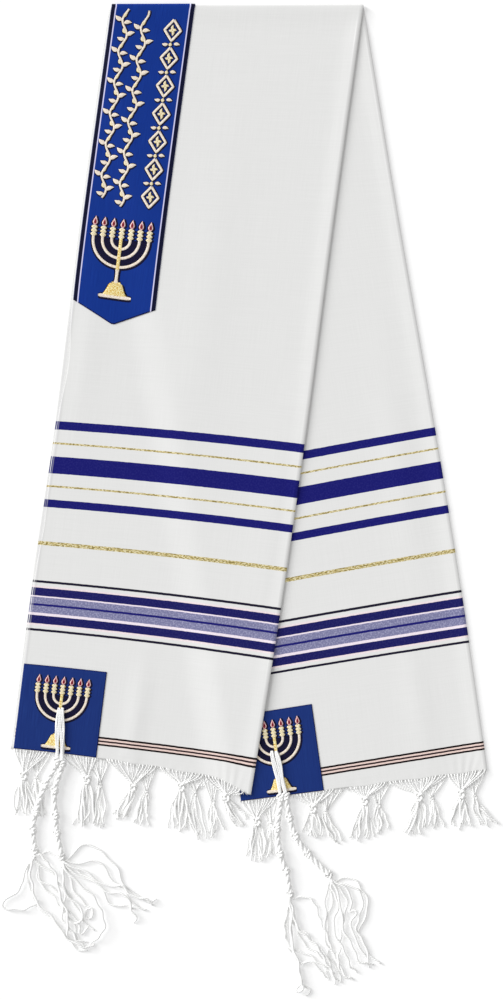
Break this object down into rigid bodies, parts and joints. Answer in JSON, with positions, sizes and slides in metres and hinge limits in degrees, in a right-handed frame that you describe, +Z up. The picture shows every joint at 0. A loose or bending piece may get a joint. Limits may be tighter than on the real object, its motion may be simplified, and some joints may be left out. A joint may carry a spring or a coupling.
{
  "type": "tallit prayer shawl",
  "caption": "White striped prayer shawl with a blue neckband, blue corner patches, knotted fringe and long corner tassels, folded lengthwise and crosswise and lying flat.",
  "frame": {"origin": "centre of the bottom of the box round the folded shawl, on the surface that it lies on", "axes": "+Y from the fringed hems towards the crosswise crease, +X across to the right of the shawl seen from above, +Z up from the surface"},
  "size_m": [0.5633, 1.1518, 0.009],
  "materials": {
    "white_cloth": "white woven cloth with navy, grey-blue and gold stripes near the hems",
    "blue_satin": "royal blue satin ribbon embroidered in gold and silver thread",
    "white_thread": "twisted white thread, matt"
  },
  "bodies": {
    "root": {"front_cloth": "white_cloth", "back_cloth": "white_cloth", "hidden_layers": "white_cloth", "neckband": "blue_satin", "corner_patch_front": "blue_satin", "corner_patch_back": "blue_satin", "fringe_front": "white_thread", "fringe_front_under": "white_thread", "fringe_back": "white_thread", "fringe_back_under": "white_thread", "tzitzit_front_outer": "white_thread", "tzitzit_front_inner": "white_thread", "tzitzit_back_outer": "white_thread", "tzitzit_back_inner": "white_thread"}
  },
  "joints": []
}
